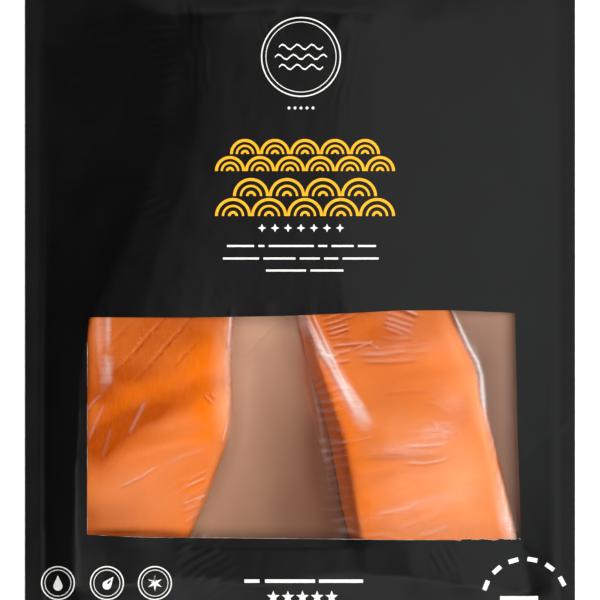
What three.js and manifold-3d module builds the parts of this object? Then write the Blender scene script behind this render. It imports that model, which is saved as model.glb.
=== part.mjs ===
// A vacuum pack of two salmon portions, lying on its back with the window up.
// Millimetres, +Z up, +Y towards the top of the pack's front.
// The origin is the middle of the pack's underside.
import * as THREE from "three";
import { mergeVertices } from "three/addons/utils/BufferGeometryUtils.js";
import Module from "manifold-3d";

const wasm = await Module();
wasm.setup();

// The pouch
const PACK_WIDTH = 205;
const PACK_HEIGHT = 262;
const SEAL_WIDTH = 8;
const FILM = 0.4;
const GAP = 0.3;
const COVER_GAP = 0.6;

// The clear window in the printed front, seen from above
const WINDOW = { left: -79.4, right: 81.6, bottom: -89.4, top: -5.6 };

// The portions. Each has its two ends, the slope by which its ends are out of
// square, and six curves along its length: the x of the top face's left and
// right edges, how far each side's foot stands outside them, and how high they
// are. The left edge is the fish's thick back, the right one its thin belly.
const CURVE_KEYS = [-108, -60, -42, -22, 10, 50, 98];
const LEFT_PORTION = {
  name: "salmon_portion_left",
  bottom: -104,
  top: 102,
  endLean: 0.09,
  left: [-83, -82, -79.8, -77, -68.5, -53, -46.5],
  right: [-48, -31.8, -28, -26.6, -22.8, -13.2, -9.5],
  leftRun: [4, 4.5, 5, 5, 5, 5, 4],
  rightRun: [2, 1.5, 1.2, 1, 1, 1, 1],
  leftHeight: [13, 21.5, 22.5, 22.5, 21.5, 19, 12.5],
  rightHeight: [9, 12, 12.5, 12.5, 12, 11, 8.5],
};
const RIGHT_PORTION = {
  name: "salmon_portion_right",
  bottom: -103.5,
  top: 100,
  endLean: -0.11,
  left: [25, 18, 13.6, 6.6, -0.6, -0.8, 3],
  right: [85, 73.2, 68.4, 60, 51, 46.5, 43],
  leftRun: [6, 6.4, 5.8, 5, 4.4, 4, 4],
  rightRun: [1.6, 1.6, 1.6, 1.6, 1.2, 1, 1],
  leftHeight: [14, 22, 23, 23, 22, 19.2, 13],
  rightHeight: [9.5, 12.5, 13, 13, 12.5, 11.5, 9],
};
const CROWN = 1.5;
const CROWN_PLACE = 0.38;
const LEAST_STRAIGHT = 0.45;
const SHOULDER_ROUND = 3.6;
const FOOT_ROUND = 3;
const END_SHARPNESS = 10;

// How the front film lies: it slopes from the portions' outer edges almost to
// the seal, and past their ends it drops over a set length.
const SEAL_ROOM = 1.5;
const END_ROOM = 2;
const END_RUN = { bottom: 12.5, top: 14 };

// It is drawn tight from ridge to ridge over the valley between the portions, with
// a slightly lower crown. At the window it sinks on to the back instead. There its
// sides run out this far, turn out at the foot, and are never wholly lost.
const TIGHT_CROWN = 0.8;
const SUNK = { bottom: -93, top: -8, ease: 24 };
const INNER_RUN = 3;
const FOOT_FILLET = 3.2;
const LEAST_SIDE = 0.04;

// Facets
const CURVE_STEPS = 3;
const PORTION_STATIONS = 26;
const END_ROWS = { from: -121.5, to: -97, count: 9 };
const MIDDLE_ROWS = { from: -97, to: 90, count: 26 };
const TOP_ROWS = { from: 90, to: 122, count: 10 };

const BASE = FILM + GAP;
const LEFT_SEAL = new THREE.Vector2(SEAL_WIDTH - PACK_WIDTH / 2, BASE);
const RIGHT_SEAL = new THREE.Vector2(PACK_WIDTH / 2 - SEAL_WIDTH, BASE);
const { lerp, clamp, smoothstep } = THREE.MathUtils;

function material(color, roughness, opacity = 1) {
  return new THREE.MeshStandardMaterial({
    color,
    roughness,
    metalness: 0,
    opacity,
    transparent: opacity < 1,
  });
}

const FLESH = material("#ee8648", 0.35);
const PRINTED_BLACK = material("#23211f", 0.4);
const CLEAR_FILM = material("#f3efe9", 0.15, 0.3);
const BACK_FILM = material("#b98d6f", 0.45);

// A value along a portion, read off one of its curves.
function along(values, y) {
  const curve = new THREE.CubicInterpolant(CURVE_KEYS, values, 1);
  return curve.evaluate(clamp(y, CURVE_KEYS[0], CURVE_KEYS.at(-1)))[0];
}

// The point a given distance from one corner on the way to the next.
function towards(from, to, distance) {
  const step = to.clone().sub(from);
  return from.clone().addScaledVector(step, Math.min(distance / step.length(), LEAST_STRAIGHT));
}

// The four corners of a portion's section, or of a section that stands clear
// of it on every side, with the crown that draws up the top between them.
function corners(portion, y, clear, leastLeft, leastRight) {
  const leftHeight = along(portion.leftHeight, y);
  const rightHeight = along(portion.rightHeight, y);
  const leftRun = Math.max(along(portion.leftRun, y), leastLeft);
  const rightRun = Math.max(along(portion.rightRun, y), leastRight);
  const leftTurn = Math.tan(Math.atan2(leftHeight, leftRun) / 2);
  const rightTurn = Math.tan(Math.atan2(rightHeight, rightRun) / 2);
  const left = along(portion.left, y) - clear * leftTurn;
  const right = along(portion.right, y) + clear * rightTurn;
  const under = BASE + clear;
  const crownHeight = Math.max(leftHeight, rightHeight) + 2 * CROWN;
  return {
    leftFoot: new THREE.Vector2(left - leftRun, BASE),
    left: new THREE.Vector2(left, under + leftHeight),
    crown: new THREE.Vector2(lerp(left, right, CROWN_PLACE), under + crownHeight),
    right: new THREE.Vector2(right, under + rightHeight),
    rightFoot: new THREE.Vector2(right + rightRun, BASE),
  };
}

// Draws a rounded corner onto a path: a straight run up to it, then the round.
function turn(path, before, at, after, radius) {
  const start = towards(at, before, radius);
  const end = towards(at, after, radius);
  path.lineTo(start.x, start.y);
  path.quadraticCurveTo(at.x, at.y, end.x, end.y);
  return end;
}

// The round top of a section, from the foot on its left to the one on its right.
function overTheTop(path, section) {
  const { leftFoot, left, crown, right, rightFoot } = section;
  turn(path, leftFoot, left, right, SHOULDER_ROUND);
  const last = towards(right, left, SHOULDER_ROUND);
  path.quadraticCurveTo(crown.x, crown.y, last.x, last.y);
  const down = towards(right, rightFoot, SHOULDER_ROUND);
  path.quadraticCurveTo(right.x, right.y, down.x, down.y);
}

// A portion's whole section at one place along it, as a ring of points.
function portionRing(portion, y) {
  const section = corners(portion, y, 0, -Infinity, -Infinity);
  const { leftFoot, left, right, rightFoot } = section;
  const middle = leftFoot.clone().lerp(rightFoot, 0.5);
  const path = new THREE.Path();
  path.moveTo(middle.x, middle.y);
  turn(path, middle, leftFoot, left, FOOT_ROUND);
  overTheTop(path, section);
  turn(path, right, rightFoot, middle, FOOT_ROUND);
  path.lineTo(middle.x, middle.y);
  return path.getPoints(CURVE_STEPS);
}

// Where a portion ends, for a point this far across from its middle.
function endsAt(portion, across) {
  return {
    bottom: portion.bottom + portion.endLean * across,
    top: portion.top + portion.endLean * across,
  };
}

// One portion: rings of its section from end to end, drawn in at the ends.
function portionGeometry(portion) {
  const sides = portionRing(portion, 0).length - 1;
  const geometry = new THREE.SphereGeometry(1, sides, PORTION_STATIONS);
  const { position, uv } = geometry.attributes;
  for (let i = 0; i < position.count; i++) {
    const station = uv.getY(i);
    const pole = station === 0 || station === 1;
    const side = pole ? 0 : Math.round(uv.getX(i) * sides) % sides;
    const share = (1 - Math.cos(Math.PI * station)) / 2;
    const square = portionRing(portion, lerp(portion.bottom, portion.top, share));
    const across = pole ? 0 : square[side].x - centreOf(square).x;
    const ends = endsAt(portion, across);
    const y = lerp(ends.bottom, ends.top, share);
    const ring = portionRing(portion, y);
    const centre = centreOf(ring);
    const end = Math.abs(2 * share - 1) ** END_SHARPNESS;
    const drawnIn = pole ? 0 : (1 - end) ** (1 / END_SHARPNESS);
    const point = centre.lerp(ring[side], drawnIn);
    position.setXYZ(i, point.x, y, point.y);
  }
  return geometry;
}

function centreOf(ring) {
  const box = new THREE.Box2().setFromPoints(ring);
  return box.getCenter(new THREE.Vector2());
}

// The top of a section's round: where its curve runs level.
function ridgeOf(section) {
  const { left, crown, right } = section;
  const t = (left.y - crown.y) / (left.y - 2 * crown.y + right.y);
  const round = new THREE.QuadraticBezierCurve(left, crown, right);
  return round.getPoint(t);
}

// The valley between the portions at one place: its middle, how high the film
// is over it, the line from ridge to ridge, and how tight the film lies along it.
function valleyAt(y) {
  const leftSide = corners(LEFT_PORTION, y, COVER_GAP, 0, 0);
  const rightSide = corners(RIGHT_PORTION, y, COVER_GAP, 0, 0);
  const from = ridgeOf(leftSide);
  const to = ridgeOf(rightSide);
  const heightAt = (x) => lerp(from.y, to.y, (x - from.x) / (to.x - from.x));
  const above = smoothstep(y, SUNK.top - SUNK.ease, SUNK.top);
  const below = 1 - smoothstep(y, SUNK.bottom, SUNK.bottom + SUNK.ease);
  const tight = Math.max(above, below);
  const x = (rightSide.leftFoot.x + leftSide.rightFoot.x) / 2;
  return { x, z: lerp(BASE, heightAt(x), tight), heightAt, tight };
}

// Lifts the edge of a section that faces the valley towards the tight film,
// and the crown with it.
function tighten(section, edge, valley) {
  const line = valley.heightAt(edge.x);
  const crown = line + 2 * CROWN * TIGHT_CROWN;
  edge.y = lerp(edge.y, line, valley.tight);
  section.crown.y = lerp(section.crown.y, crown, valley.tight);
}

// The foot of the film on one side: the side's line is followed down only to
// the level where the film leaves it, and a little of it is always kept.
function footAt(foot, edge, level) {
  const share = clamp((level - foot.y) / (edge.y - foot.y), 0, 1 - LEAST_SIDE);
  return foot.clone().lerp(edge, share);
}

// How far out the film runs on the side towards a flat: almost to the seal, and
// no further than it needs to beside the valley.
function runTowards(flat, edge) {
  const outer = flat === LEFT_SEAL || flat === RIGHT_SEAL;
  const room = Math.abs(flat.x - edge) - SEAL_ROOM;
  return outer ? Math.max(room, INNER_RUN) : INNER_RUN;
}

// The film's section over one portion, from the flat on its left to the flat
// or valley on its right.
function coverPoints(portion, y, leftFlat, rightFlat, valley) {
  const leftRun = runTowards(leftFlat, along(portion.left, y));
  const rightRun = runTowards(rightFlat, along(portion.right, y));
  const section = corners(portion, y, COVER_GAP, leftRun, rightRun);
  const inner = portion === LEFT_PORTION ? section.right : section.left;
  tighten(section, inner, valley);
  section.leftFoot = footAt(section.leftFoot, section.left, leftFlat.y);
  section.rightFoot = footAt(section.rightFoot, section.right, rightFlat.y);
  const start = towards(section.leftFoot, leftFlat, FOOT_FILLET);
  const rise = towards(section.leftFoot, section.left, FOOT_FILLET);
  const path = new THREE.Path();
  path.moveTo(start.x, start.y);
  path.quadraticCurveTo(section.leftFoot.x, section.leftFoot.y, rise.x, rise.y);
  overTheTop(path, section);
  turn(path, section.right, section.rightFoot, rightFlat, FOOT_FILLET);
  return path.getPoints(CURVE_STEPS);
}

// How much of its full section the film has at one place: all of it over the
// portion, none of it well past the portion's ends.
function fullness(portion, y, across) {
  const ends = endsAt(portion, across);
  const atBottom = 1 + (y - ends.bottom + END_ROOM) / END_RUN.bottom;
  const atTop = 1 + (ends.top + END_ROOM - y) / END_RUN.top;
  return clamp(Math.min(atBottom, atTop), 0, 1);
}

// The film's section laid flat past the portion's ends, point by point.
function settle(points, portion, y) {
  const first = points[0];
  const last = points.at(-1);
  const middle = (first.x + last.x) / 2;
  return points.map((point, k) => {
    const full = fullness(portion, y, point.x - middle);
    const flat = lerp(first.x, last.x, k / (points.length - 1));
    const x = lerp(flat, point.x, full);
    return new THREE.Vector2(x, lerp(BASE, point.y, full));
  });
}

// The underside of the front film across the whole pack at one height up it.
function filmRow(y) {
  const valley = valleyAt(y);
  const floor = new THREE.Vector2(valley.x, valley.z);
  const left = coverPoints(LEFT_PORTION, y, LEFT_SEAL, floor, valley);
  const right = coverPoints(RIGHT_PORTION, y, floor, RIGHT_SEAL, valley);
  const overLeft = settle(left, LEFT_PORTION, y);
  const overRight = settle(right, RIGHT_PORTION, y);
  const spanned = Math.min(fullness(LEFT_PORTION, y, 0), fullness(RIGHT_PORTION, y, 0));
  floor.y = lerp(BASE, valley.z, spanned);
  return [
    new THREE.Vector2(-PACK_WIDTH / 2, BASE),
    LEFT_SEAL,
    ...overLeft,
    floor,
    ...overRight,
    RIGHT_SEAL,
    new THREE.Vector2(PACK_WIDTH / 2, BASE),
  ];
}

function spread({ from, to, count }) {
  return Array.from({ length: count }, (unused, i) => lerp(from, to, i / count));
}

function rowHeights() {
  const end = PACK_HEIGHT / 2;
  const rows = [END_ROWS, MIDDLE_ROWS, TOP_ROWS].flatMap(spread);
  return [-end, SEAL_WIDTH - end, ...rows, TOP_ROWS.to, end - SEAL_WIDTH, end];
}

// The whole front film, window and all, as one thin closed sheet.
function draped() {
  const heights = rowHeights();
  const rows = heights.map(filmRow);
  const across = rows[0].length - 1;
  const up = rows.length - 1;
  const under = new THREE.PlaneGeometry(1, 1, across, up);
  placeOnFilm(under, across, up, rows, heights, null);
  under.computeVertexNormals();
  const sheet = new THREE.BoxGeometry(1, 1, 1, across, up, 1);
  placeOnFilm(sheet, across, up, rows, heights, under.attributes.normal);
  return sheet;
}

// Moves a unit grid's vertices onto the film, and its upper ones out by the
// film's thickness where the normals of its underside are given.
function placeOnFilm(geometry, across, up, rows, heights, normals) {
  const { position } = geometry.attributes;
  const place = new THREE.Vector3();
  const normal = new THREE.Vector3();
  for (let i = 0; i < position.count; i++) {
    const column = Math.round((position.getX(i) + 0.5) * across);
    const row = Math.round((position.getY(i) + 0.5) * up);
    place.set(rows[row][column].x, heights[row], rows[row][column].y);
    if (normals && position.getZ(i) > 0) {
      const onUnderside = (up - row) * (across + 1) + column;
      place.addScaledVector(normal.fromBufferAttribute(normals, onUnderside), FILM);
    }
    position.setXYZ(i, place.x, place.y, place.z);
  }
}

function solidOf(geometry) {
  const bare = geometry.clone();
  bare.deleteAttribute("normal");
  bare.deleteAttribute("uv");
  const merged = mergeVertices(bare, 1e-4);
  return new wasm.Manifold(
    new wasm.Mesh({
      numProp: 3,
      vertProperties: merged.attributes.position.array,
      triVerts: new Uint32Array(merged.index.array),
    }),
  );
}

function geometryOf(solid) {
  const mesh = solid.getMesh();
  const geometry = new THREE.BufferGeometry();
  geometry.setAttribute("position", new THREE.BufferAttribute(mesh.vertProperties, 3));
  geometry.setIndex(new THREE.BufferAttribute(mesh.triVerts, 1));
  geometry.computeVertexNormals();
  return geometry;
}

// An upright block over the window, drawn in on every side by the clearance.
function windowBlock(clearance) {
  const width = WINDOW.right - WINDOW.left - 2 * clearance;
  const height = WINDOW.top - WINDOW.bottom - 2 * clearance;
  const block = new THREE.BoxGeometry(width, height, PACK_WIDTH);
  const middleX = (WINDOW.left + WINDOW.right) / 2;
  const middleY = (WINDOW.bottom + WINDOW.top) / 2;
  return solidOf(block.translate(middleX, middleY, 0));
}

function piece(name, geometry, finish) {
  const mesh = new THREE.Mesh(geometry, finish);
  mesh.name = name;
  return mesh;
}

const pack = new THREE.Group();

const back = piece("back_film", new THREE.BoxGeometry(PACK_WIDTH, PACK_HEIGHT, FILM), BACK_FILM);
back.position.z = FILM / 2;
pack.add(back);

for (const portion of [LEFT_PORTION, RIGHT_PORTION]) {
  pack.add(piece(portion.name, portionGeometry(portion), FLESH));
}

const front = solidOf(draped());
pack.add(piece("front_film", geometryOf(front.subtract(windowBlock(0))), PRINTED_BLACK));
pack.add(piece("window_film", geometryOf(front.intersect(windowBlock(GAP))), CLEAR_FILM));

export default pack;
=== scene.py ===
# %% [markdown]
# # A vacuum pack with two salmon portions
# The real thing is a flat pouch of two films, sealed round its edge. Two long portions
# of salmon lie in it, and the air is drawn out, so the front film clings to them.
# The front film is printed black, apart from a clear window over the lower half.
# The pack lies on its back, its window up, and the camera looks straight down on it.

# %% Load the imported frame
import math

import bpy
import numpy as np
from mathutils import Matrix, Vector
from mathutils.bvhtree import BVHTree


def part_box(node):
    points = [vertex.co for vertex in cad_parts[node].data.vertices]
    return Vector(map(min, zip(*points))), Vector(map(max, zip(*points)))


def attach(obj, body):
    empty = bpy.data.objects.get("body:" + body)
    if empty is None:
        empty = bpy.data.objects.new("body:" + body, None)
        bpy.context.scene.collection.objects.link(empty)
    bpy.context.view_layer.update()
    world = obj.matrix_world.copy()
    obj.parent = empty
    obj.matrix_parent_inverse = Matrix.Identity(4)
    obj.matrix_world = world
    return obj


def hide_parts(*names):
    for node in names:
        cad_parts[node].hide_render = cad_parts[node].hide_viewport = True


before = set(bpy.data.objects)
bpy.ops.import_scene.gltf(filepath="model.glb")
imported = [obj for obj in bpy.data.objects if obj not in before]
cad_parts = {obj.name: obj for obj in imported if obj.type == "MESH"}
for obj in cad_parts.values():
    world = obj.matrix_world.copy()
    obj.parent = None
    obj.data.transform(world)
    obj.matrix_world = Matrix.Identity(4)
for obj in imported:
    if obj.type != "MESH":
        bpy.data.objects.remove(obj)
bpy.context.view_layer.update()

print("nodes:", sorted(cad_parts))

# %% [markdown]
# ## Measures
# Everything is in metres, as the frame is. The photograph is 600 pixels wide and shows
# 223.6 mm of the table. Places are read from it in pixels, across from the left and down
# from the top, and `spot` turns such a place into x and y on the table. The camera is
# taken to hang 1.6 m up, so what lies higher seems to lie further out: `seen` gives the
# pixel at which a point of the pack appears.

# %% Measures
MM = 0.001
PHOTO_WIDTH = 600
PIXEL = 0.3727 * MM
MIDDLE = 300
CAMERA_HEIGHT = 1.6


def spot(across, down):
    return (across - MIDDLE) * PIXEL, (MIDDLE - down) * PIXEL


def seen(x, y, z):
    nearer = CAMERA_HEIGHT / (CAMERA_HEIGHT - z) / PIXEL
    return MIDDLE + x * nearer, MIDDLE - y * nearer


print("one pixel of the photograph is", round(PIXEL / MM, 4), "mm of the pack")

# %% [markdown]
# ## Small helpers
# Pieces are selected, edited, modified and joined in the same few ways all through. Their
# points are read and written as arrays, and `paint` keeps one value at each point for the
# materials to read.


# %% Selecting, editing and modifying
def only(*pieces):
    bpy.ops.object.select_all(action="DESELECT")
    for piece in pieces:
        piece.select_set(True)
    bpy.context.view_layer.objects.active = pieces[0]


def begin_edit(piece):
    only(piece)
    bpy.ops.object.mode_set(mode="EDIT")
    bpy.ops.mesh.select_all(action="SELECT")


def end_edit():
    bpy.ops.object.mode_set(mode="OBJECT")


def modify(piece, kind, **settings):
    modifier = piece.modifiers.new(kind.title(), kind)
    for setting, value in settings.items():
        setattr(modifier, setting, value)
    only(piece)
    bpy.ops.object.modifier_apply(modifier=modifier.name)


def joined(pieces):
    only(*pieces)
    bpy.ops.object.join()
    return bpy.context.object


# %% Points as arrays
def triples(items, name):
    values = np.empty(len(items) * 3)
    items.foreach_get(name, values)
    return values.reshape(-1, 3)


def points_of(piece):
    return triples(piece.data.vertices, "co")


def normals_of(piece):
    return triples(piece.data.vertex_normals, "vector")


def move_points(piece, points):
    piece.data.vertices.foreach_set("co", np.ascontiguousarray(points).ravel())
    piece.data.update()


def paint(piece, name, values):
    layer = piece.data.attributes.new(name, "FLOAT", "POINT")
    layer.data.foreach_set("value", np.asarray(values, np.float32))


def smooth_step(value):
    value = np.clip(value, 0, 1)
    return value * value * (3 - 2 * value)


def told(piece):
    count = sum(len(face.vertices) - 2 for face in piece.data.polygons)
    low = points_of(piece).min(0) * 1000
    high = points_of(piece).max(0) * 1000
    print(piece.name, count, "triangles, from", low.round(1), "to", high.round(1), "mm")


print("the frame's front film has", len(points_of(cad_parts["front_film"])), "points")

# %% [markdown]
# ## Soft unevenness
# Nothing in a pack of fish is perfectly even. A sum of long, gentle waves in seeded
# directions gives a smooth unevenness that comes out the same on every run.


# %% Soft unevenness
def unevenness(seed, longest, shortest, waves=14):
    draw = np.random.default_rng(seed)
    turns = draw.uniform(0, math.tau, waves)
    lengths = np.geomspace(longest, shortest, waves) * MM
    starts = draw.uniform(0, math.tau, waves)
    shares = (lengths / lengths[0]) ** 0.6

    def at(x, y):
        total = np.zeros(np.shape(x))
        for turn, length, start, share in zip(turns, lengths, starts, shares):
            place = x * math.cos(turn) + y * math.sin(turn)
            total += share * np.sin(math.tau * place / length + start)
        return total / shares.sum() * 2

    return at


sample = unevenness(1, 40, 8)(np.linspace(0, 0.2, 50), np.zeros(50))
print("unevenness runs from", sample.min().round(2), "to", sample.max().round(2))

# %% [markdown]
# ## The portions
# A portion is a long block cut from the side of the fish. It could be shaped anew from a
# box, but the frame already has its form, so a copy of that is used. The copy is merged,
# remeshed into small even squares and smoothed. The remesh leaves faint terraces on the
# nearly level top, so that part is smoothed further, up and down only.

# %% The portions: an even mesh
WELD = 0.01 * MM
VOXEL = 1.05 * MM
LEVEL_FROM = 0.86


def even_out(piece):
    level = smooth_step((normals_of(piece)[:, 2] - LEVEL_FROM) / 0.1)
    top = piece.vertex_groups.new(name="top")
    for index in np.flatnonzero(level > 0.02):
        top.add([int(index)], float(level[index]), "REPLACE")
    upright = {"use_x": False, "use_y": False}
    modify(piece, "SMOOTH", vertex_group="top", factor=0.5, iterations=120, **upright)
    piece.vertex_groups.clear()


def fine_copy(node, name):
    piece = bpy.data.objects.new(name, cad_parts[node].data.copy())
    bpy.context.scene.collection.objects.link(piece)
    piece.data.name = name
    piece.data.materials.clear()
    begin_edit(piece)
    bpy.ops.mesh.remove_doubles(threshold=WELD)
    end_edit()
    modify(piece, "REMESH", mode="VOXEL", voxel_size=VOXEL)
    modify(piece, "SMOOTH", factor=0.5, iterations=5)
    even_out(piece)
    return piece


left_portion = fine_copy("salmon_portion_left", "left_portion")
right_portion = fine_copy("salmon_portion_right", "right_portion")
told(left_portion)
told(right_portion)

# %% [markdown]
# ## Soft patches
# Much of what follows differs by place: how far the flakes part, the flesh's tones, the
# gloss of the film. A soft patch says where. It is six numbers, read from the photograph:
# its middle across and down, half its length, half its width, its turn in degrees, and
# its amount.


# %% Soft patches
def along_and_off(across, down, middle_x, middle_y, turn):
    way_x, way_y = math.cos(math.radians(turn)), -math.sin(math.radians(turn))
    along = (across - middle_x) * way_x + (down - middle_y) * way_y
    off = (across - middle_x) * way_y - (down - middle_y) * way_x
    return along, off


def soft_patches(points, patches):
    across, down = seen(*points.T)
    total = np.zeros(len(across))
    for middle_x, middle_y, long, wide, turn, amount in patches:
        along, off = along_and_off(across, down, middle_x, middle_y, turn)
        total += amount * np.exp(-((along / long) ** 2) - (off / wide) ** 2)
    return np.clip(total, 0, 1)


def tone_piece(piece, name, patches):
    paint(piece, name, soft_patches(points_of(piece), patches))


at_middle = soft_patches(np.zeros((1, 3)), [(MIDDLE, MIDDLE, 10, 10, 0, 0.5)])[0]
print("a patch of 0.5 gives", at_middle, "at its middle")

# %% [markdown]
# ## Flakes
# The flesh is built of flakes, thin leaves that meet at pale lines, and where two flakes
# part there is a shallow groove. The points are moved by code, much as a sculpting brush
# would, because the grooves follow the flakes and not the faces. Patches say where the
# flakes part. The flanks are swollen too, where the photograph shows a portion wider than
# the frame has it, and the whole surface gets a soft unevenness.

# %% The portions: flakes and unevenness
FLAKE = 8.1 * MM
FLAKE_STEP = 0.14 * MM
GROOVE_WIDTH = 0.13
UNEVENNESS = 0.22 * MM


def swell(points, outward, from_middle, reach):
    bulge = np.exp(-(((points[:, 1] / MM - from_middle) / reach) ** 2))
    points[:, 0] += outward * MM * bulge


def swell_flanks(piece, points):
    if piece is left_portion:
        left_flank = smooth_step((-62 - points[:, 0] / MM) / 12)
        swell(points, -3.4 * left_flank, -14, 30)
        right_flank = smooth_step((points[:, 0] / MM + 46) / 12)
        swell(points, 2.45 * right_flank, -46.5, 21)
    else:
        right_flank = smooth_step(((points[:, 0] + 0.4 * points[:, 1]) / MM - 37) / 14)
        swell(points, 4.4 * right_flank, -21.6, 14)


def flesh_out(piece, lean, start, seed, partings):
    points = points_of(piece)
    normals = normals_of(piece)
    swell_flanks(piece, points)
    x, y, z = points.T
    sway = unevenness(seed, 70, 16)(x, y + z * 0.8)
    run = (math.cos(lean) * y - math.sin(lean) * x + 0.5 * z) / FLAKE + start + 0.12 * sway
    apart = np.abs(run - np.rint(run))
    step = np.exp(-((apart / GROOVE_WIDTH) ** 2)) * np.clip(normals[:, 2] + 0.6, 0, 1)
    soft = unevenness(seed + 1, 45, 9)(x, y + z)
    share = 0.03 + soft_patches(points, partings)
    inward = FLAKE_STEP * step * share + UNEVENNESS * (0.5 - soft)
    inward = np.where(normals[:, 2] < -0.5, 0, inward)
    move_points(piece, points - normals * inward[:, None])
    paint(piece, "flake", run)
    paint(piece, "parted", share)
    only(piece)
    bpy.ops.object.shade_smooth()


LEFT_PARTINGS = [
    (143, 341, 32, 7, 45, 1.0),
    (169, 344, 32, 7, 46, 1.0),
    (188, 357, 13, 7, 44, 0.7),
    (120, 333, 12, 6, 40, 0.5),
    (140, 130, 90, 110, 0, 0.6),
]
RIGHT_PARTINGS = [(380, 150, 90, 110, 0, 0.3)]
flesh_out(left_portion, math.radians(45), -0.15, 11, LEFT_PARTINGS)
flesh_out(right_portion, math.radians(14), 0, 23, RIGHT_PARTINGS)
told(left_portion)
told(right_portion)

# %% [markdown]
# ## Tones
# The colour of salmon isn't even either: it is deep where the flesh is wet and dense,
# vivid where light comes through its thin side, and pale and pink where it is fatty.
# Some of these tones are painted light and shade: the deep tone is partly painted
# shade, on the right portion's left shoulder and under the print's edge; the vivid tone
# is painted light, also on the right portion's shaded left flank; and the pale tone is
# partly a painted highlight, the film's glare along the portions' edges.
# A noise could stand for that, but then no tone would be where it belongs. So soft
# patches say where, and where the print throws a little shade.

# %% Tones of the left portion
LEFT_TONES = {
    # the deep tone, partly painted shade
    "deep_and_shade": [
        (140, 335, 80, 40, 14, 0.65),
        (185, 392, 34, 13, 12, 0.6),
        (132, 374, 34, 14, 0, 0.75),
        (102, 394, 22, 16, 0, 0.75),
        (146, 417, 20, 10, 25, 0.3),
        (198, 334, 20, 14, 0, 0.3),
        (112, 432, 34, 18, 50, 0.8),
        (150, 415, 34, 16, 25, 0.4),
        (140, 500, 70, 36, 0, 0.14),
        (98, 448, 14, 26, 0, 0.6),
        (90, 520, 10, 20, 0, 0.35),
        (138, 436, 40, 16, 12, 0.34),
        (166, 409, 34, 9, 12, 0.3),
    ],
    # the vivid tone: painted light that comes through the thin flesh
    "vivid_and_lit": [
        (205, 386, 13, 26, 0, 1.0),
        (150, 385, 84, 44, 10, 0.45),
        (205, 345, 30, 26, 0, 0.7),
        (150, 398, 60, 24, 15, 0.6),
        (120, 432, 30, 20, 40, 0.5),
        (200, 480, 22, 16, 20, 0.5),
        (208, 412, 11, 17, 0, 0.7),
        (204, 437, 20, 7, 10, 0.8),
        (196, 455, 24, 3.5, 18, 0.4),
        (192, 488, 20, 3, 24, 0.45),
        (188, 508, 18, 3, 22, 0.45),
        (192, 530, 14, 16, 20, 0.6),
        (130, 330, 60, 26, 10, 0.3),
    ],
    # the pale tone: fat, and a painted highlight along the right edge
    "pale_and_lit": [
        (228, 398, 5, 66, 0, 1.0),
        (221, 386, 8, 52, 0, 0.75),
        (224, 336, 9, 12, 0, 0.5),
        (156, 426, 34, 7, 8, 0.34),
        (166, 447, 34, 4, 14, 0.26),
        (150, 474, 50, 9, 24, 0.2),
        (120, 500, 50, 30, 0, 0.3),
        (170, 505, 30, 26, 0, 0.15),
        (205, 500, 5, 40, -18, 0.5),
    ],
    "shade": [
        (86, 370, 5, 75, 0, 0.9),
        (125, 533, 52, 4.5, 0, 0.75),
        (170, 535, 18, 4, 0, 0.4),
        (95, 522, 56, 24, 0, 0.3),
        (110, 490, 30, 40, 0, 0.07),
        (150, 318, 70, 10, 0, 0.12),
        (118, 324, 26, 16, 0, 0.13),
        (172, 353, 46, 20, 12, 0.1),
        (150, 350, 60, 30, 20, 0.08),
    ],
}
left_count = sum(len(patches) for patches in LEFT_TONES.values())
print(left_count, "patches on the left portion")

# %% Tones of the right portion
RIGHT_TONES = {
    # the deep tone: partly painted shade under the print's edge and on the left shoulder
    "deep_and_shade": [
        (350, 330, 44, 26, -30, 0.5),
        (395, 332, 40, 20, 0, 0.35),
        (432, 330, 20, 24, 0, 0.25),
        (386, 457, 28, 4.5, 4, 0.5),
        (400, 472, 50, 5, 6, 0.16),
        (440, 372, 60, 6, 6, 0.12),
        (392, 400, 50, 34, 0, 0.12),
        (420, 458, 34, 6, 2, 0.2),
        (356, 520, 4, 40, 12, 0.4),
        (346, 455, 5, 40, 11, 0.7),
        (378, 480, 22, 5, 24, 0.14),
        (425, 530, 34, 5, 22, 0.12),
    ],
    # the vivid tone: painted light, also on the shaded left flank
    "vivid_and_lit": [
        (338, 385, 12, 34, 24, 0.7),
        (352, 450, 10, 56, 14, 0.6),
        (368, 520, 12, 34, 10, 0.45),
        (372, 330, 40, 22, -20, 0.5),
        (440, 350, 18, 44, 14, 0.55),
        (478, 460, 14, 54, 13, 0.35),
        (384, 466, 20, 12, 0, 0.35),
        (376, 492, 16, 10, 0, 0.25),
    ],
    # the pale tone: fat, and a painted highlight along the right edge and lower down
    "pale_and_lit": [
        (455, 345, 7, 36, 22, 0.5),
        (436, 338, 22, 32, 10, 0.4),
        (462, 384, 16, 24, 10, 0.35),
        (479, 412, 8, 26, 12, 0.5),
        (425, 480, 54, 38, 0, 0.55),
        (470, 480, 28, 54, 12, 0.55),
        (506, 515, 7, 34, 14, 1.0),
        (480, 400, 5, 44, 14, 0.5),
        (489, 440, 5, 34, 11, 0.9),
        (420, 530, 60, 16, 0, 0.3),
        (395, 425, 40, 16, 0, 0.3),
    ],
    "shade": [
        (366, 312, 50, 10, 0, 0.3),
        (436, 316, 24, 16, 0, 0.13),
        (430, 531, 100, 10, 0, 0.16),
        (388, 410, 30, 28, 0, 0.11),
        (425, 474, 60, 40, 0, 0.06),
        (353, 462, 8, 62, 11, 0.12),
    ],
}
right_count = sum(len(patches) for patches in RIGHT_TONES.values())
print(right_count, "patches on the right portion")

# %% [markdown]
# A last map says how steep the surface is, because the cut sides of a portion are browner
# than its top, and darker with painted shade. The left portion's sides are lit, so they
# show little of it, and neither does the upper end of the right portion's left side.

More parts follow.
